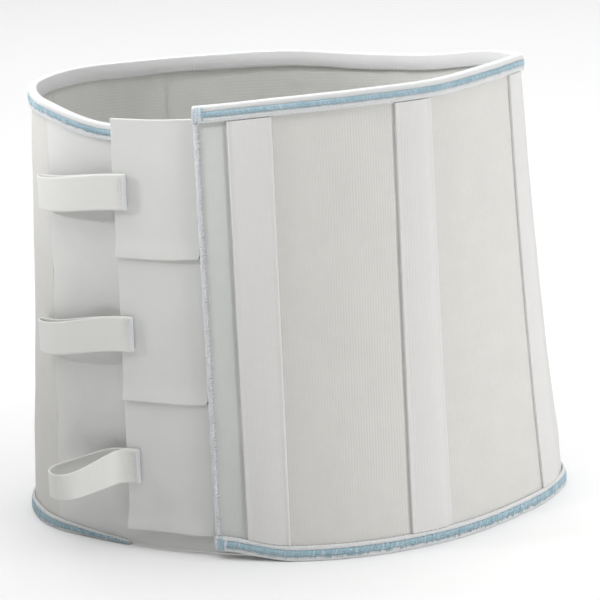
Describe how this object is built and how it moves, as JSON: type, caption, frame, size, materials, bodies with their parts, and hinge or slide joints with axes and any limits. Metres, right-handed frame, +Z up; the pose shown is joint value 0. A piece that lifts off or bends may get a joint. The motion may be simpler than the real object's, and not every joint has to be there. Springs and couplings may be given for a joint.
{
  "type": "abdominal binder",
  "caption": "White elastic abdominal binder standing closed: a flared oval band with vertical stay casings, blue-striped edge tape, hook tabs and finger loops at the front.",
  "frame": {"origin": "middle of the bounding box on the ground, where the binder's lower edge stands", "axes": "+Z up; -Y is the front, where it closes; the tabs and loops lie towards -X; +X is the wearer's left"},
  "size_m": [0.3268, 0.1992, 0.2687],
  "materials": {
    "elastic": "ribbed elastic knit, matt",
    "landing_pile": "short brushed pile, matt",
    "casing": "plain woven tape, matt",
    "binding_tape": "woven edge tape, matt",
    "blue_stripe": "dyed woven stripe, matt",
    "tab_cloth": "smooth brushed cloth, matt",
    "loop_tape": "twill tape, matt"
  },
  "bodies": {
    "root": {"front_strip": "elastic", "front_panel": "elastic", "side_panel_right": "elastic", "flank_panel_right": "elastic", "back_panel": "elastic", "flank_panel_left": "elastic", "side_panel_left": "elastic", "landing_panel": "landing_pile", "stay_casing_front": "casing", "stay_casing_groin": "casing", "stay_casing_hip": "casing", "stay_casing_back_right": "casing", "stay_casing_back_left": "casing", "stay_casing_left": "casing", "top_binding": "binding_tape", "bottom_binding": "binding_tape", "top_stripe": "blue_stripe", "bottom_stripe": "blue_stripe", "hook_tab_upper": "tab_cloth", "hook_tab_middle": "tab_cloth", "hook_tab_lower": "tab_cloth", "finger_loop_upper": "loop_tape", "finger_loop_middle": "loop_tape", "finger_loop_lower": "loop_tape"}
  },
  "joints": []
}
